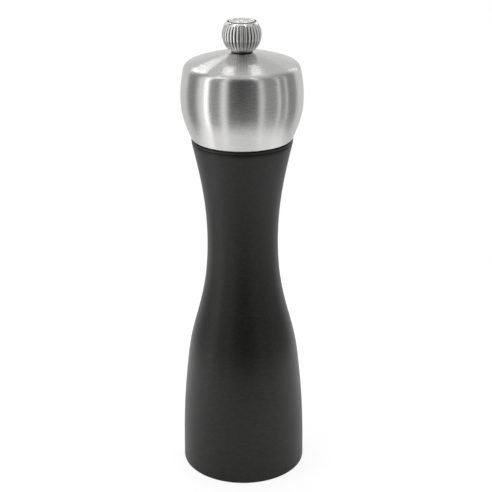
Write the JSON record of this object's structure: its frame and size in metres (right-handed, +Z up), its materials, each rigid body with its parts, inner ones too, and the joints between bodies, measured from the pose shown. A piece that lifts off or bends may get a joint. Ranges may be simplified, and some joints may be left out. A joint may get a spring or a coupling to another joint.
{
  "type": "pepper mill",
  "caption": "Tall waisted pepper mill: black turned body, brushed steel head that turns, and a fluted knob that sets the grind.",
  "frame": {"origin": "centre of the foot, on the surface that the mill stands on", "axes": "+Z up along the turning axis; +Y towards the back, so the front faces -Y"},
  "size_m": [0.054, 0.054, 0.2],
  "materials": {
    "body_lacquer": "turned beech under matt black lacquer",
    "ring_plastic": "moulded black plastic",
    "housing_plastic": "moulded black plastic",
    "core_plastic": "moulded black plastic",
    "bush_plastic": "natural acetal",
    "burr_steel": "case-hardened and dulled",
    "plate_steel": "brushed stainless steel",
    "washer_steel": "stamped stainless steel",
    "spring_steel": "drawn spring wire",
    "screw_steel": "zinc plated",
    "shaft_steel": "drawn square bar",
    "head_steel": "brushed round the axis",
    "knob_steel": "polished",
    "cap_steel": "satin polished",
    "insert_brass": "turned brass"
  },
  "bodies": {
    "mill_body": {"body": "body_lacquer", "neck_ring": "ring_plastic", "burr_housing": "housing_plastic", "shaft_bush": "bush_plastic", "burr_ring": "burr_steel", "base_plate": "plate_steel", "base_screws": "screw_steel"},
    "thrust": {"thrust_washer": "washer_steel", "spring": "spring_steel"},
    "shaft": {"drive_shaft": "shaft_steel", "grinding_cone": "burr_steel", "spring_seat": "washer_steel", "cone_washer": "washer_steel", "cone_clip": "spring_steel"},
    "head": {"head_shell": "head_steel", "head_core": "core_plastic", "crown_washer": "washer_steel", "drive_plate": "plate_steel", "drive_plate_screws": "screw_steel"},
    "collar": {"knob_collar": "ring_plastic"},
    "knob": {"knob": "knob_steel", "knob_insert": "insert_brass", "knob_cap": "cap_steel"}
  },
  "joints": [
    {"name": "head_turn", "type": "hinge", "parent": "mill_body", "child": "thrust", "pos_m": [0, 0, 0.025], "axis": [0, 0, 1], "continuous": true},
    {"name": "burr_gap", "type": "slide", "parent": "thrust", "child": "shaft", "axis": [0, 0, 1], "range_m": [0, 0.0012], "deforming": ["spring"]},
    {"name": "head_lift", "type": "slide", "parent": "thrust", "child": "head", "axis": [0, 0, 1], "range_m": [0, 0.08]},
    {"name": "knob_lift", "type": "slide", "parent": "head", "child": "collar", "axis": [0, 0, 1], "range_m": [0, 0.02]},
    {"name": "knob_turn", "type": "hinge", "parent": "collar", "child": "knob", "pos_m": [0, 0, 0.19435], "axis": [0, 0, 1], "range_deg": [-540, 0]}
  ],
  "couplings": [
    {"joint": "knob_turn", "follows": "burr_gap", "rad_per_m": -7854}
  ]
}
